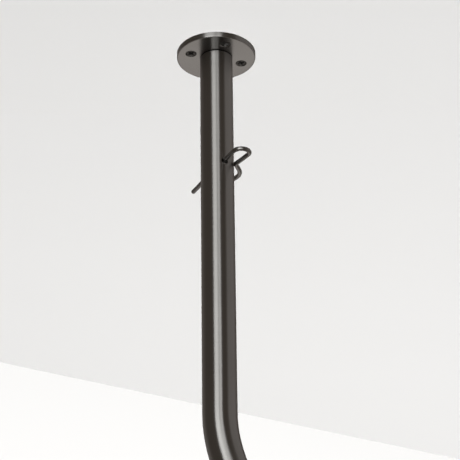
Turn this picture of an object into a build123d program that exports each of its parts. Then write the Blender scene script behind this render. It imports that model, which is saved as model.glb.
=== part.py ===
from build123d import *

import os

# A ceiling-hung handrail: one round tube bent into a U, hung by its two legs.
# Each leg slides up over a spigot that is bolted to a round ceiling flange, and a spring
# clip pushed through leg and spigot locks it. Four countersunk screws hold each flange.
#
# Frame, in millimetres: the origin is the centre of flange A's ceiling face, +X runs along
# the rail to flange B, +Z is up, and +Y points the way the clips' straight ends point out.
# End A is modelled on the Z axis. End B is its mirror image at the other leg.

# Rail tube
TUBE_R = 14.0
TUBE_WALL = 2.0
BORE_R = TUBE_R - TUBE_WALL
LEG_SPACING = 1000.0
BAR_DROP = 450.0
BEND_R = 8 * TUBE_R
TUBE_END_CHAMFER = 0.3

# Ceiling flange
FLANGE_R = 34.0
FLANGE_T = 5.0
FLANGE_EDGE_CHAMFER = 0.4
LEG_TOP_GAP = 0.5

# Ceiling screws, on a circle turned a little from the rail's own line
SCREW_COUNT = 4
SCREW_CIRCLE_R = 23.0
SCREW_CIRCLE_TURN = -7.0
SCREW_HOLE_R = 2.5
SCREW_MOUTH_R = 4.8
SCREW_MOUTH_DEPTH = 0.5
SCREW_HEAD_R = 4.5
SCREW_HEAD_RIM = 0.32
SCREW_NECK_R = 2.45
SCREW_SHANK_R = 2.25
SCREW_ROOT_R = 1.5
SCREW_LENGTH = 40.0
SCREW_PLAIN_LENGTH = 13.0
SCREW_PITCH = 2.0
SCREW_TIP_LENGTH = 5.0
RECESS_SPAN = 5.2
RECESS_SLOT = 1.1
RECESS_DEPTH = 2.2
RECESS_TAPER = 8.0
SEAT_GAP = 0.03

# Centre screw, from the ceiling side of the flange into the spigot's plug
CENTRE_HOLE_R = 4.2
CENTRE_MOUTH_R = 8.25
CENTRE_HEAD_R = 7.7
CENTRE_SHANK_R = 4.0
CENTRE_LENGTH = 20.0
CENTRE_RECESS_FLATS = 5.0
CENTRE_RECESS_DEPTH = 3.0
CENTRE_HEAD_DEPTH = 0.15

# Spigot, its threaded plug and its two guide rings
SPIGOT_R = 11.9
SPIGOT_WALL = 2.5
SPIGOT_BOTTOM = -145.0
SPIGOT_LEAD_IN = 1.5
PLUG_LENGTH = 20.0
PLUG_HOLE_LENGTH = 17.0
FIT_GAP = 0.02
RING_HEIGHTS = {"upper": -30.0, "lower": -135.0}
RING_WIDTH = 6.0
RING_GROOVE_DEPTH = 0.8
RING_R = 11.97
RING_SPLIT = 1.5

# Spring clip: one bent wire, in a level plane. n is measured from the leg's axis towards
# the middle of the rail, u from the same axis towards +Y.
WIRE_R = 1.9
CLIP_Z = -114.2
CLIP_N = 0.0
PIN_END_U = 45.6
HEAD_U = -36.7
HEAD_BEND_R = 7.0
APEX_N = 7.2
SHOULDER = (14.5, -36.7)
WAIST = (11.1, -11.8)
BULGE = (34.7, 12.8)
HEEL = (7.7, 20.0)
TOE = (11.5, 31.5)
LEG_BENDS = [6.2, 2.6, 14.0, 4.0]
CUP_GAP = 0.05
CUP_START = 1.05

# Cross holes for the clip. The leg hangs on the wire, and the wire lies on the spigot.
LEG_HOLE_R = 3.0
SPIGOT_HOLE_R = 3.5
WIRE_REST_GAP = 0.05

ABOVE = (Align.CENTER, Align.CENTER, Align.MIN)


def turned(outline):
    """A solid of revolution about Z from its (radius, height) outline."""
    return revolve(make_face(Polyline(*[(r, 0, z) for r, z in outline], close=True)), axis=Axis.Z)


def disc(radius, z_low, z_high):
    """A cylinder on the Z axis between two heights."""
    return Pos(0, 0, z_low) * Cylinder(radius, z_high - z_low, align=ABOVE)


def cross_hole(radius, z):
    """A cutter along Y, right through the leg at one height."""
    return Pos(0, 0, z) * Rot(90, 0, 0) * Cylinder(radius, 4 * TUBE_R)


def screw_places():
    return PolarLocations(SCREW_CIRCLE_R, SCREW_COUNT, start_angle=SCREW_CIRCLE_TURN)


def mouth_height(radius):
    """Height at which the flange's countersinks for the ceiling screws have this radius."""
    return -FLANGE_T + SCREW_MOUTH_DEPTH + SCREW_MOUTH_R - radius


# --- Rail ---------------------------------------------------------------------------

def bent_bar(radius):
    """The rail's whole run as a solid bar: two legs, two quarter bends and the grip bar."""
    leg_bottom = BEND_R - BAR_DROP
    leg = disc(radius, leg_bottom, -FLANGE_T - LEG_TOP_GAP)
    section = Pos(0, 0, leg_bottom) * Circle(radius)
    bend_axis = Axis((BEND_R, 0, leg_bottom), (0, -1, 0))
    bend = revolve(section, axis=bend_axis, revolution_arc=90)
    bar_length = LEG_SPACING - 2 * BEND_R
    bar = Pos(BEND_R, 0, -BAR_DROP) * Rot(0, 90, 0) * Cylinder(radius, bar_length, align=ABOVE)
    return leg + bend + bar + at_end_b(bend) + at_end_b(leg)


def rail_tube():
    top = -FLANGE_T - LEG_TOP_GAP
    outside = bent_bar(TUBE_R)
    chamfer_ring = turned([
        (TUBE_R - TUBE_END_CHAMFER, top),
        (TUBE_R + 1, top - TUBE_END_CHAMFER - 1),
        (TUBE_R + 1, top),
    ])
    hole = cross_hole(LEG_HOLE_R, CLIP_Z + WIRE_R + WIRE_REST_GAP - hole_reach(LEG_HOLE_R))
    leg_cuts = [chamfer_ring, hole]
    return outside - bent_bar(BORE_R) - leg_cuts - [at_end_b(cut) for cut in leg_cuts]


def hole_reach(radius):
    """How far a cross hole's wall is above its axis, over the wire's highest point."""
    room = radius - WIRE_R - WIRE_REST_GAP
    return (room ** 2 - CLIP_N ** 2) ** 0.5 + WIRE_R + WIRE_REST_GAP


# --- Ceiling flange and its screws --------------------------------------------------

def ceiling_flange():
    edge = FLANGE_EDGE_CHAMFER
    plate = turned([
        (0, 0),
        (FLANGE_R - edge / 2, 0),
        (FLANGE_R, -edge / 2),
        (FLANGE_R, edge - FLANGE_T),
        (FLANGE_R - edge, -FLANGE_T),
        (0, -FLANGE_T),
    ])
    screw_cut = turned([
        (0, -FLANGE_T - 1),
        (SCREW_MOUTH_R, -FLANGE_T - 1),
        (SCREW_MOUTH_R, mouth_height(SCREW_MOUTH_R)),
        (SCREW_HOLE_R, mouth_height(SCREW_HOLE_R)),
        (SCREW_HOLE_R, 1),
        (0, 1),
    ])
    centre_cut = turned([
        (0, 1),
        (CENTRE_MOUTH_R + 1, 1),
        (CENTRE_HOLE_R, CENTRE_HOLE_R - CENTRE_MOUTH_R),
        (CENTRE_HOLE_R, -FLANGE_T - 1),
        (0, -FLANGE_T - 1),
    ])
    return plate - centre_cut - [place * screw_cut for place in screw_places()]


def countersunk_blank(head_r, rim, shank_r, tail):
    """A 90 degree countersunk screw on +Z with its head face at z = 0."""
    return turned([(0, 0), (head_r, 0), (head_r, rim), (shank_r, rim + head_r - shank_r)] + tail)


def ceiling_screw():
    """A wood screw pointing up through the flange, with a cross recess in its head."""
    thread_end = SCREW_LENGTH - SCREW_TIP_LENGTH
    ridges = int((thread_end - SCREW_PLAIN_LENGTH) / SCREW_PITCH)
    head_face = mouth_height(SCREW_HEAD_R) - SCREW_HEAD_RIM - SEAT_GAP
    tail = [(SCREW_NECK_R, -head_face), (SCREW_SHANK_R, -head_face)]
    tail += [(SCREW_SHANK_R, SCREW_PLAIN_LENGTH - SCREW_PITCH / 2)]
    for ridge in range(ridges):
        z = SCREW_PLAIN_LENGTH + ridge * SCREW_PITCH
        tail += [(SCREW_ROOT_R, z), (SCREW_ROOT_R, z + SCREW_PITCH * 0.4)]
        tail += [(SCREW_SHANK_R, z + SCREW_PITCH * 0.65), (SCREW_SHANK_R, z + SCREW_PITCH * 0.75)]
    tail += [(SCREW_ROOT_R, thread_end), (0, SCREW_LENGTH)]
    blank = countersunk_blank(SCREW_HEAD_R, SCREW_HEAD_RIM, SCREW_NECK_R, tail)
    cross = Rectangle(RECESS_SPAN, RECESS_SLOT) + Rectangle(RECESS_SLOT, RECESS_SPAN)
    recess = extrude(cross, amount=RECESS_DEPTH, taper=RECESS_TAPER)
    return Pos(0, 0, head_face) * (blank - recess)


def centre_screw():
    """A machine screw pointing down from the flange's back, with a hexagon recess."""
    rim = CENTRE_MOUTH_R - CENTRE_HEAD_R - CENTRE_HEAD_DEPTH - SEAT_GAP
    tail = [(CENTRE_SHANK_R, CENTRE_LENGTH - 1), (CENTRE_SHANK_R - 1, CENTRE_LENGTH), (0, CENTRE_LENGTH)]
    blank = countersunk_blank(CENTRE_HEAD_R, rim, CENTRE_SHANK_R, tail)
    hexagon = RegularPolygon(CENTRE_RECESS_FLATS / 2, 6, major_radius=False)
    recess = extrude(hexagon, amount=CENTRE_RECESS_DEPTH)
    return Pos(0, 0, -CENTRE_HEAD_DEPTH) * Rot(180, 0, 0) * (blank - recess)


# --- Spigot ---------------------------------------------------------------------------

def spigot_tube():
    bore_r = SPIGOT_R - SPIGOT_WALL
    groove_r = SPIGOT_R - RING_GROOVE_DEPTH
    outline = [(bore_r, -FLANGE_T), (SPIGOT_R, -FLANGE_T)]
    for z in RING_HEIGHTS.values():
        top, bottom = z + RING_WIDTH / 2, z - RING_WIDTH / 2
        outline += [(SPIGOT_R, top), (groove_r, top), (groove_r, bottom), (SPIGOT_R, bottom)]
    outline += [
        (SPIGOT_R, SPIGOT_BOTTOM + SPIGOT_LEAD_IN),
        (SPIGOT_R - SPIGOT_LEAD_IN, SPIGOT_BOTTOM),
        (bore_r, SPIGOT_BOTTOM),
    ]
    hole_z = CLIP_Z - WIRE_R - WIRE_REST_GAP + hole_reach(SPIGOT_HOLE_R)
    return turned(outline) - cross_hole(SPIGOT_HOLE_R, hole_z)


def spigot_plug():
    """The threaded block in the top of the spigot that the centre screw pulls up."""
    plug = disc(SPIGOT_R - SPIGOT_WALL - FIT_GAP, -FLANGE_T - PLUG_LENGTH, -FLANGE_T)
    thread_bore = disc(CENTRE_SHANK_R + FIT_GAP, -FLANGE_T - PLUG_HOLE_LENGTH, -FLANGE_T + 1)
    return plug - thread_bore


def guide_ring(z):
    """A split ring in the spigot's groove, which centres the leg."""
    inner_r = SPIGOT_R - RING_GROOVE_DEPTH + FIT_GAP
    half_width = RING_WIDTH / 2 - FIT_GAP
    ring = disc(RING_R, z - half_width, z + half_width) - disc(inner_r, z - RING_WIDTH, z + RING_WIDTH)
    split = Pos(-RING_R, 0, z) * Box(RING_R, RING_SPLIT, 2 * RING_WIDTH)
    return ring - split


# --- Spring clip ----------------------------------------------------------------------

def wire(points, bends):
    """Round wire of the clip's gauge along a filleted run, with a domed far end."""
    run = FilletPolyline(*[(n, u, CLIP_Z) for n, u in points], radius=bends)
    bar = sweep(Plane(origin=run @ 0, z_dir=run % 0) * Circle(WIRE_R), path=run)
    return bar + wire_dome(run @ 1, run % 1)


def wire_dome(centre, direction):
    """Half a ball on the end of the wire."""
    quarter = make_face([
        Line((0, 0), (WIRE_R, 0)),
        Line((0, 0), (0, WIRE_R)),
        CenterArc((0, 0), WIRE_R, 0, 90),
    ])
    dome = revolve(Plane.XZ * quarter, axis=Axis.Z)
    return Plane(origin=centre, z_dir=direction) * dome


def clip_pin():
    """The clip's straight leg through the holes and half its head, ending in a ball."""
    straight = [(CLIP_N, PIN_END_U), (CLIP_N, HEAD_U), (APEX_N, HEAD_U)]
    pin = wire(straight, [HEAD_BEND_R])
    return pin + wire_dome(Vector(CLIP_N, PIN_END_U, CLIP_Z), Vector(0, 1, 0))


def clip_spring_leg():
    """The clip's wavy leg, round the outside of the rail's leg, starting in a cup on the ball."""
    start = (APEX_N, HEAD_U)
    leg = wire([start, SHOULDER, WAIST, BULGE, HEEL, TOE], LEG_BENDS)
    ball_room = Pos(*start, CLIP_Z) * Sphere(WIRE_R + CUP_GAP)
    head_cut = Pos(*start, CLIP_Z) * Box(2 * CUP_START, 4 * WIRE_R, 4 * WIRE_R)
    return leg - ball_room - head_cut


# --- Both ends ------------------------------------------------------------------------

def at_end_b(shape):
    """The mirror image of a piece of end A, at the rail's other leg."""
    return Pos(LEG_SPACING, 0, 0) * mirror(shape, about=Plane.YZ)


def end_a_nodes():
    nodes = {
        "ceiling_flange_a": ceiling_flange(),
        "spigot_tube_a": spigot_tube(),
        "spigot_plug_a": spigot_plug(),
        "centre_screw_a": centre_screw(),
        "clip_pin_a": clip_pin(),
        "clip_spring_leg_a": clip_spring_leg(),
    }
    for name, z in RING_HEIGHTS.items():
        nodes[f"guide_ring_{name}_a"] = guide_ring(z)
    screw = ceiling_screw()
    for number, place in enumerate(screw_places(), start=1):
        nodes[f"ceiling_screw_{number}_a"] = place * screw
    return nodes


def all_nodes():
    end_a = end_a_nodes()
    end_b = {name[:-1] + "b": at_end_b(shape) for name, shape in end_a.items()}
    return {"rail_tube": rail_tube()} | end_a | end_b


os.makedirs("parts", exist_ok=True)
for node, shape in all_nodes().items():
    export_step(shape, f"parts/{node}.step")
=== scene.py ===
import math

import bmesh
import bpy
from mathutils import Matrix, Vector


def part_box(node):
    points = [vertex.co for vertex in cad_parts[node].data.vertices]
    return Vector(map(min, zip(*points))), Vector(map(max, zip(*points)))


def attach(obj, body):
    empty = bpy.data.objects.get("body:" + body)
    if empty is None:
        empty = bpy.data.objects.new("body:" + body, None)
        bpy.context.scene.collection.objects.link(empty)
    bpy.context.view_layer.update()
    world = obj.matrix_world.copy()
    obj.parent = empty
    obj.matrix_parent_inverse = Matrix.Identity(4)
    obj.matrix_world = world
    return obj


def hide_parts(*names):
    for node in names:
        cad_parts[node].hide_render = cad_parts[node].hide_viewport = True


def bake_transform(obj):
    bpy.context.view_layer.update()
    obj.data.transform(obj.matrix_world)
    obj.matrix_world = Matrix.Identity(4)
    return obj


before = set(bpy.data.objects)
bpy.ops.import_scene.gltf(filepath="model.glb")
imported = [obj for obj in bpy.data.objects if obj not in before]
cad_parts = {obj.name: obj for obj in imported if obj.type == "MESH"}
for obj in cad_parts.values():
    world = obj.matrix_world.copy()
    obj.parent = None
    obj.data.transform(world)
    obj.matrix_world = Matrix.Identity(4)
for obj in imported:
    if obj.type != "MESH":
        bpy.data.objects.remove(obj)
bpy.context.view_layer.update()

# The finished look of a ceiling-hung handrail: metres, in the CAD frame. +X runs along the
# rail from flange A to flange B, +Z is up, and the ceiling is the plane z = 0.

MM = 0.001

# --- Sizes, read from the frame where a node shows them -------------------------------------------

rail_low, rail_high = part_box("rail_tube")
TUBE_R = -rail_low.x
BORE_R = TUBE_R - 2 * MM
TUBE_END_ROUND = 0.3 * MM
LEG_SPACING = rail_low.x + rail_high.x
LEG_TOP = rail_high.z
BAR_Z = rail_low.z + TUBE_R
BEND_R = 8 * TUBE_R
BEND_Z = BAR_Z + BEND_R

flange_low, flange_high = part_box("ceiling_flange_a")
FLANGE_R = flange_high.x
FLANGE_T = -flange_low.z
FLANGE_LOWER_ROUND = 1.1 * MM
FLANGE_UPPER_ROUND = 0.25 * MM
SCREW_CIRCLE_R = 23 * MM
SCREW_CIRCLE_TURN = math.radians(-7)
SCREW_MOUTH_R = 4.8 * MM
SCREW_HOLE_R = 2.5 * MM
SCREW_MOUTH_DEPTH = 0.5 * MM
SCREW_MOUTH_CHAMFER = 0.05 * MM
CENTRE_MOUTH_R = 8.25 * MM
CENTRE_HOLE_R = 4.2 * MM

screw_low, screw_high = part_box("ceiling_screw_1_a")
SCREW_FACE_Z = screw_low.z
SCREW_TIP_Z = screw_high.z
SCREW_HEAD_R = (screw_high.x - screw_low.x) / 2
SCREW_NECK_R = 2.45 * MM
SCREW_SHANK_R = 2.25 * MM
SCREW_ROOT_R = 1.5 * MM
SCREW_RIM = 0.5 * MM
SCREW_WORN = 0.18 * MM
THREAD_PITCH = 2 * MM
THREAD_START_Z = SCREW_FACE_Z + 13 * MM
THREAD_FADE = 2 * MM
THREAD_STEP = 0.25 * MM
POINT_LENGTH = 5 * MM
POINT_BLUNT = 0.15
RECESS_REACH = 3.0 * MM
RECESS_HALF_SLOT = 0.8 * MM
RECESS_DEPTH = 2.3 * MM
RECESS_TURN = 0.7

pin_low, pin_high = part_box("clip_pin_a")
WIRE_R = (pin_high.z - pin_low.z) / 2
CLIP_Z = (pin_high.z + pin_low.z) / 2
PIN_N = pin_low.x + WIRE_R
PIN_END_U = pin_high.y - WIRE_R
HEAD_U = pin_low.y + WIRE_R
HEAD_BEND_R = 7 * MM
SHOULDER = (14.5 * MM, HEAD_U)
WAIST = (11.1 * MM, -11.8 * MM)
BULGE = (34.7 * MM, 12.8 * MM)
HEEL = (7.7 * MM, 20.0 * MM)
TOE = (11.5 * MM, 31.5 * MM)
LEG_BENDS = (6.2 * MM, 2.6 * MM, 14.0 * MM, 4.0 * MM)
LEG_HOLE_R = 3.0 * MM
WIRE_PLAY = 0.05 * MM
LEG_HOLE_Z = CLIP_Z + WIRE_R + WIRE_PLAY - LEG_HOLE_R

ENDS = {"a": (0.0, 1), "b": (LEG_SPACING, -1)}


# --- Mesh building --------------------------------------------------------------------------------

def mesh_object(name, verts, faces, origin=(0, 0, 0)):
    """A smooth-shaded mesh object whose own origin is at the given place in the CAD frame."""
    mesh = bpy.data.meshes.new(name)
    mesh.from_pydata([Vector(v) for v in verts], [], faces)
    mesh.shade_smooth()
    obj = bpy.data.objects.new(name, mesh)
    obj.location = origin
    bpy.context.scene.collection.objects.link(obj)
    return obj


def mirrored(verts, faces, side):
    """Mesh data as it is for end A (side 1), or mirrored in X for end B (side -1)."""
    if side > 0:
        return verts, faces
    return [(-v[0], v[1], v[2]) for v in verts], [tuple(reversed(f)) for f in faces]


def ring_faces(rings, segments, closed=False):
    """Quads between neighbouring rings of vertices, the last joined to the first if closed."""
    faces = []
    for ring in range(rings if closed else rings - 1):
        here, there = ring * segments, (ring + 1) % rings * segments
        for k in range(segments):
            after = (k + 1) % segments
            faces.append((here + k, here + after, there + after, there + k))
    return faces


def ring_uvs(mesh, lengths, segments, girth):
    """UVs in metres on ring quads: U along the run, V round it."""
    layer = mesh.uv_layers.new(name="run_uv")
    for face in mesh.polygons[:(len(lengths) - 1) * segments]:
        ring, k = divmod(face.index, segments)
        corners = ((ring, k), (ring, k + 1), (ring + 1, k + 1), (ring + 1, k))
        for loop, (at, step) in zip(face.loop_indices, corners):
            layer.data[loop].uv = (lengths[at], girth * step / segments)


def outward_uvs(mesh):
    """UVs in metres on a turned piece: U out from the axis and up, V round the axis."""
    bearing_shift = 0.02
    layer = mesh.uv_layers.new(name="run_uv")
    for face in mesh.polygons:
        bearing = math.atan2(face.center.y, face.center.x)
        along = Vector((math.cos(bearing), math.sin(bearing), 0))
        across = Vector((-along.y, along.x, 0))
        for loop in face.loop_indices:
            point = mesh.vertices[mesh.loops[loop].vertex_index].co
            layer.data[loop].uv = (
                point.dot(along) + point.z,
                point.dot(across) + bearing * bearing_shift,
            )


def lathe(outline, segments, closed):
    """Vertices and faces of a surface of revolution about Z from (radius, height) points.
    A closed outline makes a ring; an open one starts and ends on the axis."""
    rings = outline if closed else outline[1:-1]
    verts = []
    for radius, z in rings:
        for k in range(segments):
            angle = 2 * math.pi * k / segments
            verts.append((radius * math.cos(angle), radius * math.sin(angle), z))
    faces = ring_faces(len(rings), segments, closed)
    if not closed:
        last = (len(rings) - 1) * segments
        verts += [(0, 0, outline[0][1]), (0, 0, outline[-1][1])]
        for k in range(segments):
            after = (k + 1) % segments
            faces.append((len(verts) - 2, after, k))
            faces.append((len(verts) - 1, last + k, last + after))
    return verts, faces


def rounded(outline, corners, steps=5):
    """An outline with some of its corners, given as {index: radius}, turned into arcs."""
    out = []
    for i, point in enumerate(outline):
        radius = corners.get(i)
        if radius is None:
            out.append(point)
            continue
        corner = Vector(point)
        before = (Vector(outline[i - 1]) - corner).normalized()
        after = (Vector(outline[(i + 1) % len(outline)]) - corner).normalized()
        half = before.angle(after) / 2
        centre = corner + (before + after).normalized() * radius / math.sin(half)
        start = corner + before * radius / math.tan(half) - centre
        end = corner + after * radius / math.tan(half) - centre
        turn = start.angle_signed(end)
        for k in range(steps + 1):
            out.append(tuple(centre + Matrix.Rotation(-turn * k / steps, 2) @ start))
    return out


def cut(obj, cutters):
    """Takes the cutters' shapes out of obj's mesh, and removes the cutters."""
    for cutter in cutters:
        modifier = obj.modifiers.new("cut", "BOOLEAN")
        modifier.operation = "DIFFERENCE"
        modifier.solver = "EXACT"
        modifier.object = cutter
    bake_modifiers(obj)
    for cutter in cutters:
        bpy.data.objects.remove(cutter)


def bake_modifiers(obj):
    """Makes the result of obj's modifiers its mesh."""
    depsgraph = bpy.context.evaluated_depsgraph_get()
    baked = bpy.data.meshes.new_from_object(obj.evaluated_get(depsgraph), depsgraph=depsgraph)
    obj.modifiers.clear()
    obj.data = baked


def crisp(obj, angle):
    """Sharp edges where faces meet at more than the angle, and flat shading beside rounds."""
    bm = bmesh.new()
    bm.from_mesh(obj.data)
    for edge in bm.edges:
        edge.smooth = edge.calc_face_angle(math.pi) < angle
    for face in bm.faces:
        face.smooth = True
    bm.to_mesh(obj.data)
    bm.free()
    modifier = obj.modifiers.new("weighted", "WEIGHTED_NORMAL")
    modifier.keep_sharp = True
    bake_modifiers(obj)


# --- Centre lines ---------------------------------------------------------------------------------

def filleted_run(points, bends, arc_step, line_step):
    """(point, direction) pairs along a plane polyline whose corners are arcs. Where two arcs
    meet or overlap by a hair, there is no straight part between them."""
    points = [Vector(p) for p in points]
    run = []
    start = points[0]
    for i, radius in enumerate(bends, start=1):
        corner = points[i]
        back = (points[i - 1] - corner).normalized()
        on = (points[i + 1] - corner).normalized()
        half = back.angle(on) / 2
        arc_in = corner + back * radius / math.tan(half)
        arc_out = corner + on * radius / math.tan(half)
        centre = corner + (back + on).normalized() * radius / math.sin(half)
        if (arc_in - start).dot(back) < 0:
            run += straight(start, arc_in, line_step)[:-1]
        spoke = arc_in - centre
        turn = -spoke.angle_signed(arc_out - centre)
        steps = max(2, round(abs(turn) / arc_step))
        for k in range(steps):
            spin = Matrix.Rotation(turn * k / steps, 2)
            run.append((centre + spin @ spoke, spin @ -back))
        start = arc_out
    return run + straight(start, points[-1], line_step)


def straight(start, end, step):
    """(point, direction) pairs along a straight line, both ends included."""
    count = max(1, round((end - start).length / step))
    direction = (end - start).normalized()
    return [(start.lerp(end, k / count), direction) for k in range(count + 1)]


def run_lengths(rings):
    """How far along the run each ring's centre lies."""
    centres = [ring[0] for ring in rings]
    lengths = [0.0]
    for here, there in zip(centres, centres[1:]):
        lengths.append(lengths[-1] + (there - here).length)
    return lengths


# --- Rail tube ------------------------------------------------------------------------------------

def rail_rings():
    """Rings down the outside and back up the bore, as (centre, direction, radius)."""
    corners = [(0, LEG_TOP), (0, BAR_Z), (LEG_SPACING, BAR_Z), (LEG_SPACING, LEG_TOP)]
    run = filleted_run(corners, (BEND_R, BEND_R), math.radians(2.5), 12 * MM)
    (top, down), (end, up) = run[0], run[-1]
    inward = [(top + down * TUBE_END_ROUND, down)]
    inward += run[1:-1]
    inward.append((end - up * TUBE_END_ROUND, up))
    outside = [(p, d, TUBE_R) for p, d in inward]
    bore = [(p, d, BORE_R) for p, d in reversed(inward)]
    lip_radii = (TUBE_R - TUBE_END_ROUND, BORE_R + TUBE_END_ROUND)
    far_lip = [(end, up, radius) for radius in lip_radii]
    near_lip = [(top, down, radius) for radius in reversed(lip_radii)]
    return outside + far_lip + bore + near_lip


def rail_tube():
    """The bent tube with its bore, rounded ends and the clips' two cross holes."""
    segments = 128
    half_cutter = 30 * MM
    rings = rail_rings()
    verts = []
    for centre, direction, radius in rings:
        side = Vector((direction.y, 0, -direction.x))
        for k in range(segments):
            angle = 2 * math.pi * k / segments
            across = side * math.sin(angle) + Vector((0, math.cos(angle), 0))
            verts.append(Vector((centre.x, 0, centre.y)) + across * radius)
    obj = mesh_object("rail_tube_finished", verts, ring_faces(len(rings), segments, closed=True))
    ring_uvs(obj.data, run_lengths(rings), segments, 2 * math.pi * TUBE_R)
    pin_hole = [
        (0, -half_cutter),
        (LEG_HOLE_R, -half_cutter),
        (LEG_HOLE_R, half_cutter),
        (0, half_cutter),
    ]
    level = Matrix.Rotation(math.pi / 2, 4, "X")
    cutters = []
    for x, _ in ENDS.values():
        cutter = mesh_object("pin_hole", *lathe(pin_hole, 64, closed=False))
        cutter.matrix_world = Matrix.Translation((x, 0, LEG_HOLE_Z)) @ level
        cutters.append(cutter)
    cut(obj, cutters)
    tube_normals(obj.data)
    return obj


def spoke_from_axis(point):
    """The direction out from the rail's centre line at this place."""
    if BEND_R <= point.x <= LEG_SPACING - BEND_R:
        return Vector((0, point.y, point.z - BAR_Z)).normalized()
    leg_x = 0 if point.x < BEND_R else LEG_SPACING
    if point.z >= BEND_Z:
        return Vector((point.x - leg_x, point.y, 0)).normalized()
    pivot = Vector((BEND_R if leg_x == 0 else LEG_SPACING - BEND_R, 0, BEND_Z))
    on_line = pivot + Vector((point.x - pivot.x, 0, point.z - pivot.z)).normalized() * BEND_R
    return (point - on_line).normalized()


def tube_normals(mesh):
    """Exact normals on the tube's round faces, and flat ones on its ends and hole walls."""
    nearly_along = 0.97
    normals = [None] * len(mesh.loops)
    for face in mesh.polygons:
        flat = face.normal.copy()
        for loop in face.loop_indices:
            spoke = spoke_from_axis(mesh.vertices[mesh.loops[loop].vertex_index].co)
            facing = flat.dot(spoke)
            is_round = abs(facing) > nearly_along
            normals[loop] = spoke * math.copysign(1, facing) if is_round else flat
    mesh.normals_split_custom_set(normals)


# --- Flange and screws ----------------------------------------------------------------------------

def mouth_height(radius):
    """Where the countersink of a screw hole has this radius."""
    return -FLANGE_T + SCREW_MOUTH_DEPTH + SCREW_MOUTH_R - radius


def screw_angles():
    """The bearings of end A's four screws from the flange's middle."""
    return [SCREW_CIRCLE_TURN + math.pi / 2 * k for k in range(4)]


def ceiling_flange(end):
    """The round flange, countersunk for its centre screw from above and four from below."""
    x, side = ENDS[end]
    outline = rounded(
        [
            (CENTRE_HOLE_R, -FLANGE_T),
            (FLANGE_R, -FLANGE_T),
            (FLANGE_R, 0),
            (CENTRE_MOUTH_R, 0),
            (CENTRE_HOLE_R, CENTRE_HOLE_R - CENTRE_MOUTH_R),
        ],
        {1: FLANGE_LOWER_ROUND, 2: FLANGE_UPPER_ROUND},
    )
    obj = mesh_object(f"ceiling_flange_{end}_finished", *lathe(outline, 256, closed=True))
    outward_uvs(obj.data)
    over = 2 * MM
    clear_of_face = SCREW_MOUTH_CHAMFER * 0.01
    hole = [
        (0, -FLANGE_T - over),
        (SCREW_MOUTH_R + over, -FLANGE_T - over + SCREW_MOUTH_CHAMFER),
        (SCREW_MOUTH_R + SCREW_MOUTH_CHAMFER, -FLANGE_T - clear_of_face),
        (SCREW_MOUTH_R, -FLANGE_T + SCREW_MOUTH_CHAMFER),
        (SCREW_MOUTH_R, mouth_height(SCREW_MOUTH_R)),
        (SCREW_HOLE_R, mouth_height(SCREW_HOLE_R)),
        (SCREW_HOLE_R, over),
        (0, over),
    ]
    cutters = []
    for angle in screw_angles():
        cutter = mesh_object("screw_hole", *lathe(hole, 64, closed=False))
        cutter.location = screw_place(angle, side)
        cutters.append(cutter)
    cut(obj, cutters)
    crisp(obj, math.radians(32))
    obj.location = (x, 0, 0)
    return obj


def screw_place(angle, side):
    """A screw's axis, from the flange's middle."""
    return Vector((side * math.cos(angle), math.sin(angle), 0)) * SCREW_CIRCLE_R


def screw_rings():
    """(radius, height, thread depth) of each ring of a wood screw, from head face to tip."""
    crown = ((8, 0), (5.5, 0.06 * MM), (3, 0.2 * MM), (1, 0.38 * MM), (1, SCREW_RIM))
    rings = [(SCREW_HEAD_R - inset * SCREW_WORN, SCREW_FACE_Z + z, 0) for inset, z in crown]
    neck_z = SCREW_FACE_Z + SCREW_RIM - SCREW_WORN + SCREW_HEAD_R - SCREW_NECK_R
    rings += [(SCREW_NECK_R, neck_z, 0), (SCREW_NECK_R, 0, 0), (SCREW_SHANK_R, 0.05 * MM, 0)]
    for k in range(round((SCREW_TIP_Z - THREAD_START_Z) / THREAD_STEP)):
        z = THREAD_START_Z + k * THREAD_STEP
        fade_in = min(1, (z - THREAD_START_Z) / THREAD_FADE)
        taper = min(1, (SCREW_TIP_Z - z) / POINT_LENGTH)
        outer = SCREW_SHANK_R * (POINT_BLUNT + (1 - POINT_BLUNT) * taper)
        rings.append((outer, z, fade_in * (SCREW_SHANK_R - SCREW_ROOT_R) * taper))
    return rings


def ceiling_screw(end, number, angle):
    """A countersunk wood screw with a cross recess and a helical thread. Each screw has come
    to rest at a turn of its own."""
    x, side = ENDS[end]
    segments = 48
    verts = []
    rings = screw_rings()
    for radius, z, depth in rings:
        for k in range(segments):
            angle_here = 2 * math.pi * k / segments
            phase = (z / THREAD_PITCH - k / segments) % 1
            crest = max(0, 1 - abs(phase - 0.5) * 4)
            r = radius - depth * (1 - crest)
            verts.append((r * math.cos(angle_here), r * math.sin(angle_here), z))
    faces = ring_faces(len(rings), segments)
    verts += [(0, 0, SCREW_FACE_Z), (0, 0, SCREW_TIP_Z)]
    last = (len(rings) - 1) * segments
    for k in range(segments):
        after = (k + 1) % segments
        faces.append((len(verts) - 2, after, k))
        faces.append((len(verts) - 1, last + k, last + after))
    obj = mesh_object(f"ceiling_screw_{number}_{end}_finished", verts, faces)
    cut(obj, [cross_recess()])
    crisp(obj, math.radians(40))
    final_turn = side * (angle + number * RECESS_TURN)
    obj.matrix_world = Matrix.Translation(screw_place(angle, side) + Vector((x, 0, 0)))
    obj.matrix_world @= Matrix.Rotation(final_turn, 4, "Z")
    return obj


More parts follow.
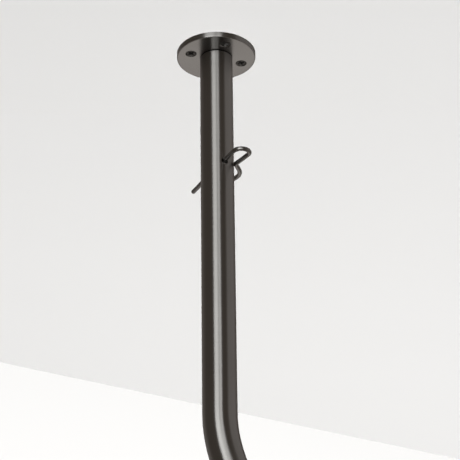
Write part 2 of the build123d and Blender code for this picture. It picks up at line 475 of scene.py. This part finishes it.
def cross_recess():
    """The cutter for the driver's cross: it narrows with depth, and starts below the head."""
    inner = RECESS_HALF_SLOT * 1.5
    arm = [(RECESS_REACH, -RECESS_HALF_SLOT), (RECESS_REACH, RECESS_HALF_SLOT), (inner, inner)]
    outline = [Matrix.Rotation(math.pi / 2 * k, 2) @ Vector(p) for k in range(4) for p in arm]
    levels = ((-0.5 * MM, 1.08), (0, 1.0), (RECESS_DEPTH * 0.6, 0.66), (RECESS_DEPTH, 0.25))
    verts = [(p.x * scale, p.y * scale, SCREW_FACE_Z + z) for z, scale in levels for p in outline]
    count = len(outline)
    faces = ring_faces(len(levels), count)
    faces.append(tuple(reversed(range(count))))
    faces.append(tuple(range((len(levels) - 1) * count, len(levels) * count)))
    return mesh_object("cross_recess", verts, faces)


# --- Spring clip ----------------------------------------------------------------------------------

def clip_runs():
    """The wire's centre line in three stretches: straight leg, head bend and spring leg. The
    head bend lasts from the wire's first turn until it runs along +Y, past the shoulder."""
    turning = 1e-4
    past_shoulder = SHOULDER[0] * 0.8
    along_y = 0.98
    corners = [(PIN_N, PIN_END_U), (PIN_N, HEAD_U), SHOULDER, WAIST, BULGE, HEEL, TOE]
    run = filleted_run(corners, (HEAD_BEND_R,) + LEG_BENDS, math.radians(4), 3 * MM)
    head_start = min(i for i, (_, d) in enumerate(run) if d.x > turning)
    head_end = min(
        i for i, (p, d) in enumerate(run)
        if i > head_start and p.x > past_shoulder and d.y > along_y
    )
    return run[:head_start], run[head_start - 1:head_end + 1], run[head_end:]


def wire_mesh(name, run, end, dome=None):
    """Round wire along a stretch of the clip, domed at its "start" or "finish" if dome says so.
    A ring is (centre, direction, radius, lean), with lean the slope of its normals."""
    x, side = ENDS[end]
    segments = 40
    dome_steps = 8
    rings = [(p, d, WIRE_R, 0) for p, d in run]
    slopes = [math.pi / 2 * k / dome_steps for k in range(1, dome_steps)]
    tip, onward = run[0] if dome == "start" else run[-1]
    out = -1 if dome == "start" else 1
    cap = [
        (tip + onward * out * WIRE_R * math.sin(a), onward, WIRE_R * math.cos(a), out * math.sin(a))
        for a in slopes
    ]
    if dome == "start":
        rings = cap[::-1] + rings
    elif dome == "finish":
        rings += cap
    verts = []
    normals = []
    for p, d, radius, lean in rings:
        for k in range(segments):
            angle = 2 * math.pi * k / segments
            across = Vector((-d.y, d.x, 0)) * math.cos(angle) + Vector((0, 0, math.sin(angle)))
            verts.append(Vector((p.x, p.y, CLIP_Z)) + across * radius)
            normals.append((across * radius / WIRE_R + Vector((d.x, d.y, 0)) * lean).normalized())
    faces = ring_faces(len(rings), segments)
    if dome:
        outward = Vector((onward.x, onward.y, 0)) * out
        verts.append(Vector((tip.x, tip.y, CLIP_Z)) + outward * WIRE_R)
        normals.append(outward)
        last = 0 if dome == "start" else (len(rings) - 1) * segments
        for k in range(segments):
            pair = (last + k, last + (k + 1) % segments)
            faces.append((len(verts) - 1,) + (pair[::-1] if dome == "start" else pair))
    verts, faces = mirrored([tuple(v) for v in verts], faces, side)
    obj = mesh_object(name, verts, faces, (x, 0, 0))
    ring_uvs(obj.data, run_lengths(rings), segments, 2 * math.pi * WIRE_R)
    obj.data.normals_split_custom_set_from_vertices([(side * n.x, n.y, n.z) for n in normals])
    return obj


# --- Materials ------------------------------------------------------------------------------------

def node(tree, kind, inputs=None, **settings):
    """A new shader node with its settings and the values of its inputs."""
    made = tree.nodes.new(kind)
    for key, value in settings.items():
        setattr(made, key, value)
    for key, value in (inputs or {}).items():
        made.inputs[key].default_value = value
    return made


def new_material(name):
    """A node material, its tree and its shader."""
    material = bpy.data.materials.new(name)
    material.use_nodes = True
    tree = material.node_tree
    return material, tree, tree.nodes["Principled BSDF"]


def ramp(tree, source, low, high, low_at=0.3, high_at=0.7):
    """The part of a 0..1 source from low_at to high_at, spread from low to high."""
    span = {"From Min": low_at, "From Max": high_at, "To Min": low, "To Max": high}
    made = node(tree, "ShaderNodeMapRange", span)
    tree.links.new(source, made.inputs["Value"])
    return made.outputs["Result"]


def tinted(tree, factor, dark, light):
    """A colour between dark and light."""
    mix = node(tree, "ShaderNodeMix", data_type="RGBA")
    mix.inputs["A"].default_value = (*dark, 1)
    mix.inputs["B"].default_value = (*light, 1)
    tree.links.new(factor, mix.inputs["Factor"])
    return mix.outputs["Result"]


def noise(tree, vector, scale, detail=3.0, roughness=0.5):
    """Noise of 0..1 at the vector's place."""
    look = {"Scale": scale, "Detail": detail, "Roughness": roughness}
    made = node(tree, "ShaderNodeTexNoise", look)
    tree.links.new(vector, made.inputs["Vector"])
    return made.outputs["Fac"]


def stretched(tree, source, scale):
    """Coordinates multiplied by a scale for each axis."""
    mapping = node(tree, "ShaderNodeMapping")
    mapping.inputs["Scale"].default_value = scale
    tree.links.new(source, mapping.inputs["Vector"])
    return mapping.outputs["Vector"]


def plus(tree, first, second):
    """The sum of two sources."""
    made = node(tree, "ShaderNodeMath", operation="ADD")
    tree.links.new(first, made.inputs[0])
    tree.links.new(second, made.inputs[1])
    return made.outputs[0]


def times(tree, source, factor):
    """A source multiplied by a number."""
    made = node(tree, "ShaderNodeMath", {1: factor}, operation="MULTIPLY")
    tree.links.new(source, made.inputs[0])
    return made.outputs[0]


def satin_metal(name, colour, rough, grain_vector, smudge_scale=18.0, bump=0.003, streak=0.0):
    """Plated, brushed metal: fine grain lines, slow tone changes and faint handling marks.
    grain_vector(tree) gives coordinates that are stretched along the brushing. streak spreads
    the gloss along the run of the piece's UV map, across the brushing."""
    grain_tone = 0.04
    grain_rough = 0.01
    material, tree, shader = new_material(name)
    shader.inputs["Metallic"].default_value = 1.0
    if streak:
        shader.inputs["Anisotropic"].default_value = streak
        run = node(tree, "ShaderNodeTangent", direction_type="UV_MAP", uv_map="run_uv")
        tree.links.new(run.outputs["Tangent"], shader.inputs["Tangent"])
    place = node(tree, "ShaderNodeTexCoord").outputs["Object"]
    grain = noise(tree, grain_vector(tree), 1.0, 4.0, 0.6)
    smudge = noise(tree, place, smudge_scale, 3.0, 0.55)
    flecks = noise(tree, place, 900.0, 2.0, 0.5)
    deep = tuple(c * (1 - grain_tone) for c in colour)
    pale = tuple(c * (1 + grain_tone) for c in colour)
    tree.links.new(tinted(tree, ramp(tree, grain, 0, 1), deep, pale), shader.inputs["Base Color"])
    from_grain = ramp(tree, grain, rough - grain_rough, rough + grain_rough)
    from_smudge = ramp(tree, smudge, -0.01, 0.025, 0.4, 0.75)
    from_flecks = ramp(tree, flecks, -0.004, 0.008)
    total = plus(tree, plus(tree, from_grain, from_smudge), from_flecks)
    tree.links.new(total, shader.inputs["Roughness"])
    height = node(tree, "ShaderNodeBump", {"Strength": bump, "Distance": 0.2 * MM})
    tree.links.new(grain, height.inputs["Height"])
    tree.links.new(height.outputs["Normal"], shader.inputs["Normal"])
    return material


def along_run(tree):
    """Grain lines that go round the tube or wire: thin along it, long across."""
    uv = node(tree, "ShaderNodeUVMap", uv_map="run_uv").outputs["UV"]
    return stretched(tree, uv, (2600, 40, 1))


def round_centre(tree):
    """Turning marks: fine out from the axis, long round it."""
    marks_per_metre = 3200.0
    place = node(tree, "ShaderNodeTexCoord").outputs["Object"]
    flat = stretched(tree, place, (1, 1, 0))
    length = node(tree, "ShaderNodeVectorMath", operation="LENGTH")
    tree.links.new(flat, length.inputs[0])
    rings = times(tree, length.outputs["Value"], marks_per_metre)
    join = node(tree, "ShaderNodeCombineXYZ")
    tree.links.new(rings, join.inputs["X"])
    drift = noise(tree, place, 60.0, 1.0)
    tree.links.new(times(tree, drift, 1.5), join.inputs["Y"])
    return join.outputs["Vector"]


def in_place(scale):
    """Grain that follows the piece's own axes, stretched by a scale for each."""
    def vector(tree):
        return stretched(tree, node(tree, "ShaderNodeTexCoord").outputs["Object"], scale)
    return vector


def nylon():
    """Black moulded nylon, slightly mottled."""
    material, tree, shader = new_material("nylon")
    place = node(tree, "ShaderNodeTexCoord").outputs["Object"]
    mottle = noise(tree, place, 700.0, 4.0)
    colour = tinted(tree, mottle, (0.02, 0.02, 0.022), (0.04, 0.04, 0.042))
    tree.links.new(colour, shader.inputs["Base Color"])
    tree.links.new(ramp(tree, mottle, 0.45, 0.6), shader.inputs["Roughness"])
    return material


def paint(name, colour):
    """Matt paint. Seen from behind it isn't there, so that other views look past it."""
    material, tree, shader = new_material(name)
    place = node(tree, "ShaderNodeTexCoord").outputs["Object"]
    stipple = noise(tree, place, 400.0, 3.0)
    pale = tuple(c * 1.01 for c in colour)
    tree.links.new(tinted(tree, stipple, colour, pale), shader.inputs["Base Color"])
    shader.inputs["Roughness"].default_value = 0.9
    shader.inputs["Specular IOR Level"].default_value = 0.2
    gone = node(tree, "ShaderNodeBsdfTransparent")
    back = node(tree, "ShaderNodeNewGeometry").outputs["Backfacing"]
    either = mixed(tree, back, shader.outputs[0], gone.outputs[0])
    tree.links.new(either, tree.nodes["Material Output"].inputs["Surface"])
    return material


def mixed(tree, factor, first, second):
    """The first shader where factor is 0, and the second where it is 1."""
    mix = node(tree, "ShaderNodeMixShader")
    for socket, source in zip(mix.inputs, (factor, first, second)):
        tree.links.new(source, socket)
    return mix.outputs[0]


# --- Putting the object together ------------------------------------------------------------------

GUNMETAL = (0.25, 0.247, 0.24)
rail_metal = satin_metal("rail_gunmetal", GUNMETAL, 0.35, along_run, streak=1.0)
flange_metal = satin_metal("flange_gunmetal", GUNMETAL, 0.22, round_centre, streak=0.85)
rim_metal = satin_metal("flange_rim_gunmetal", GUNMETAL, 0.35, round_centre, streak=1.0)
wire_metal = satin_metal("wire_gunmetal", (0.19, 0.187, 0.181), 0.24, along_run)
screw_metal = satin_metal("screw_dark", (0.07, 0.068, 0.065), 0.4, round_centre, 120.0, bump=0.04)
zinc = satin_metal("zinc", (0.6, 0.6, 0.58), 0.3, round_centre, 60.0)
mill_steel = satin_metal("mill_steel", (0.4, 0.39, 0.37), 0.38, in_place((900, 900, 40)), 60.0)
nylon_black = nylon()


def dress(obj, material, body, slot, *replaced):
    """Gives a new piece its material and body, and hides the CAD nodes it stands for. The slot is
    not used.
    """
    obj.data.materials.clear()
    obj.data.materials.append(material)
    if body:
        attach(obj, body)
    if replaced:
        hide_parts(*replaced)


def finish_rim(flange, material):
    """Gives the flange's side wall a finish of its own."""
    flange.data.materials.append(material)
    rim_from = FLANGE_R - FLANGE_LOWER_ROUND - 0.1 * MM
    for face in flange.data.polygons:
        if abs(face.normal.z) < 0.6 and face.center.xy.length > rim_from:
            face.material_index = 1


def redress(node_name, material):
    """Gives a CAD node that stays a better material."""
    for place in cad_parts[node_name].material_slots:
        place.material = material


HIDDEN = {
    "centre_screw": zinc,
    "spigot_plug": mill_steel,
    "spigot_tube": mill_steel,
    "guide_ring_upper": nylon_black,
    "guide_ring_lower": nylon_black,
}

dress(rail_tube(), rail_metal, "fixed_rail", "rail_steel", "rail_tube")
straight_run, head_run, spring_run = clip_runs()
for end, (end_x, end_side) in ENDS.items():
    flange = ceiling_flange(end)
    dress(flange, flange_metal, "fixed_rail", "flange_steel", f"ceiling_flange_{end}")
    finish_rim(flange, rim_metal)
    for number, angle in enumerate(screw_angles(), start=1):
        screw = ceiling_screw(end, number, angle)
        dress(screw, screw_metal, "fixed_rail", "screw_steel", f"ceiling_screw_{number}_{end}")
    pin = wire_mesh(f"clip_straight_leg_{end}", straight_run, end, "start")
    dress(pin, wire_metal, f"clip_{end}", "spring_wire", f"clip_pin_{end}")
    spring = wire_mesh(f"clip_wavy_leg_{end}", spring_run, end, "finish")
    dress(spring, wire_metal, f"clip_leg_{end}", "spring_wire", f"clip_spring_leg_{end}")
    head = wire_mesh(f"clip_head_{end}", head_run, end)
    dress(head, wire_metal, None, "spring_wire")
    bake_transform(head)
    for hidden_node, material in HIDDEN.items():
        redress(f"{hidden_node}_{end}", material)


# --- Room -----------------------------------------------------------------------------------------

WALL_Y = 0.671
WALL_TURN = math.radians(2.0)
FLOOR_Z = -2.4
CEILING_GAP = 0.2 * MM
UPRIGHT = Matrix.Rotation(math.pi / 2, 4, "X")


def stage_plane(name, size, matrix, material):
    """A flat part of the room. The washes light it, and the object's gloss doesn't see it."""
    half_x, half_y = size[0] / 2, size[1] / 2
    verts = [(-half_x, -half_y, 0), (half_x, -half_y, 0), (half_x, half_y, 0), (-half_x, half_y, 0)]
    obj = mesh_object(name, verts, [(0, 1, 2, 3)])
    obj.matrix_world = matrix
    obj.data.materials.append(material)
    obj.visible_glossy = False
    obj.visible_diffuse = False
    obj.visible_shadow = False
    return obj


white = paint("room_white", (0.8, 0.793, 0.782))
ceiling_place = Matrix.Translation((0, 0, CEILING_GAP)) @ Matrix.Rotation(math.pi, 4, "X")
ceiling = stage_plane("ceiling", (8, 8), ceiling_place, white)
wall_place = Matrix.Translation((0, WALL_Y, 0)) @ Matrix.Rotation(WALL_TURN, 4, "Z") @ UPRIGHT
wall = stage_plane("wall", (8, -2 * FLOOR_Z), wall_place, white)
floor_paint = paint("floor_pale", (0.72, 0.71, 0.69))
floor = stage_plane("floor", (30, 30), Matrix.Translation((0, 0, FLOOR_Z)), floor_paint)


# --- Lights ---------------------------------------------------------------------------------------

PLACE_AZIMUTH = math.radians(27.0)
SOFTBOX_AWAY = 2.0
SOFTBOX_EYE_Z = -0.2
CEILING_LIGHT = 2.04
GLOW_LIGHT = 1.0
WALL_LIGHT = 9.4
FLOOR_LIGHT = 3.6
GLOSS_WORLD = (0.157, 0.133, 0.114, 1)
MATT_WORLD = (0.02, 0.02, 0.02, 1)
SEEN_WORLD = (0.86, 0.86, 0.85, 1)

ahead = Vector((math.sin(PLACE_AZIMUTH), math.cos(PLACE_AZIMUTH), 0))
rightward = Vector((ahead.y, -ahead.x, 0))


def panel(name, place, facing, size, radiance, seen_in_gloss, colour=(1, 1, 1)):
    """A rectangular light that shines against the way of facing. It is either seen in gloss,
    or lights matt surfaces only, without shadows."""
    light = bpy.data.lights.new(name, "AREA")
    light.shape = "RECTANGLE"
    light.size, light.size_y = size
    light.energy = radiance * math.pi * size[0] * size[1]
    light.color = colour
    light.use_shadow = seen_in_gloss
    light.cycles.use_multiple_importance_sampling = seen_in_gloss
    obj = bpy.data.objects.new(name, light)
    bpy.context.scene.collection.objects.link(obj)
    obj.location = place
    obj.rotation_euler = facing.to_track_quat("Z", "Y").to_euler()
    obj.visible_camera = False
    obj.visible_glossy = seen_in_gloss
    obj.visible_diffuse = not seen_in_gloss
    return obj


def softbox(name, left, right, low, high, radiance, colour=(1, 1, 1)):
    """A panel of light round the leg of flange A, seen in its gloss only. Left and right are
    bearings in degrees from the camera's side, low and high are elevations."""
    left, right, low, high = (math.radians(a) for a in (left, right, low, high))
    middle = (left + right) / 2
    level = -ahead * math.cos(middle) + rightward * math.sin(middle)
    bottom, top = math.tan(low) * SOFTBOX_AWAY, math.tan(high) * SOFTBOX_AWAY
    size = (2 * SOFTBOX_AWAY * math.tan((right - left) / 2), top - bottom)
    place = level * SOFTBOX_AWAY + Vector((0, 0, (bottom + top) / 2 + SOFTBOX_EYE_Z))
    panel(name, place, level, size, radiance, True, colour)


def wash(name, place, facing, size, radiance, receiver):
    """A panel that lights one stage plane and nothing else."""
    light_only(panel(name, Vector(place), Vector(facing), size, radiance, False), receiver)


def light_only(light, receiver):
    """Lets a light reach one object only."""
    receivers = bpy.data.collections.new(f"{light.name}_receivers")
    receivers.objects.link(receiver)
    light.light_linking.receiver_collection = receivers


def floor_wash():
    """An even light on the floor, however far it reaches."""
    sun = bpy.data.lights.new("floor_wash", "SUN")
    sun.energy = FLOOR_LIGHT
    sun.use_shadow = False
    obj = bpy.data.objects.new("floor_wash", sun)
    obj.visible_glossy = False
    bpy.context.scene.collection.objects.link(obj)
    light_only(obj, floor)


def studio_world():
    """What lies beyond the lights: pale to the eye, dim in gloss, and darker on matt."""
    world = bpy.data.worlds.new("studio")
    bpy.context.scene.world = world
    world.use_nodes = True
    sky = world.node_tree
    in_gloss = sky.nodes["Background"]
    in_gloss.inputs["Color"].default_value = GLOSS_WORLD
    on_matt = node(sky, "ShaderNodeBackground", {"Color": MATT_WORLD})
    to_eye = node(sky, "ShaderNodeBackground", {"Color": SEEN_WORLD})
    rays = node(sky, "ShaderNodeLightPath").outputs
    lighting = mixed(sky, rays["Is Diffuse Ray"], in_gloss.outputs[0], on_matt.outputs[0])
    whole = mixed(sky, rays["Is Camera Ray"], lighting, to_eye.outputs[0])
    sky.links.new(whole, sky.nodes["World Output"].inputs["Surface"])


WARM = (1.0, 0.95, 0.92)
FAINT_WARM = (1.0, 0.955, 0.95)
WINDOW = (-45, 22)
WINDOW_HIGH = (38, 60)
FILL = (-45, 55)
softbox("window_left", -31, -5, *WINDOW, 3.5)
softbox("window_left_high", -31, -5, *WINDOW_HIGH, 1.3)
softbox("window_gap", -5, 1.5, *WINDOW, 1.7)
softbox("window_right", 1.5, 15, *WINDOW, 2.65)
softbox("window_right_high", 1.5, 15, *WINDOW_HIGH, 1.0)
softbox("side_fill", 56, 130, *FILL, 0.28, FAINT_WARM)
softbox("left_fill", -155, -115, *FILL, 0.12, FAINT_WARM)
softbox("far_fill", 150, 210, -60, -12, 0.66, WARM)

SHINES_UP = (0, 0, -1)
SHINES_AT_WALL = (0, -1, 0)
wash("ceiling_wash", (0.9, 0.2, FLOOR_Z + 0.05), SHINES_UP, (4, 4), CEILING_LIGHT, ceiling)
wash("wall_glow", (0.6, 0.62, -0.85), SHINES_UP, (4, 0.25), GLOW_LIGHT, ceiling)
wash("wall_wash", (0.6, -2.6, -1.0), SHINES_AT_WALL, (4, 1.6), WALL_LIGHT, wall)
floor_wash()
studio_world()


# --- Camera ---------------------------------------------------------------------------------------

FOCAL_LENGTH_MM = 157.4
SENSOR_WIDTH_MM = 36
VIEW_AZIMUTH = math.radians(27.39)
VIEW_PITCH = math.radians(28.65)
VIEW_ROLL = math.radians(-0.78)
VIEW_AWAY = 1.4569
VIEW_BELOW = 0.9702

camera = bpy.data.cameras.new("camera")
camera.sensor_width = SENSOR_WIDTH_MM
camera.lens = FOCAL_LENGTH_MM
viewer = bpy.data.objects.new("camera", camera)
bpy.context.scene.collection.objects.link(viewer)
viewer.matrix_world = (
    Matrix.Translation(-ahead * VIEW_AWAY - Vector((0, 0, VIEW_BELOW)))
    @ Matrix.Rotation(-VIEW_AZIMUTH, 4, "Z")
    @ Matrix.Rotation(math.pi / 2 + VIEW_PITCH, 4, "X")
    @ Matrix.Rotation(VIEW_ROLL, 4, "Z")
)
bpy.context.scene.camera = viewer
bpy.context.scene.view_settings.view_transform = "Standard"
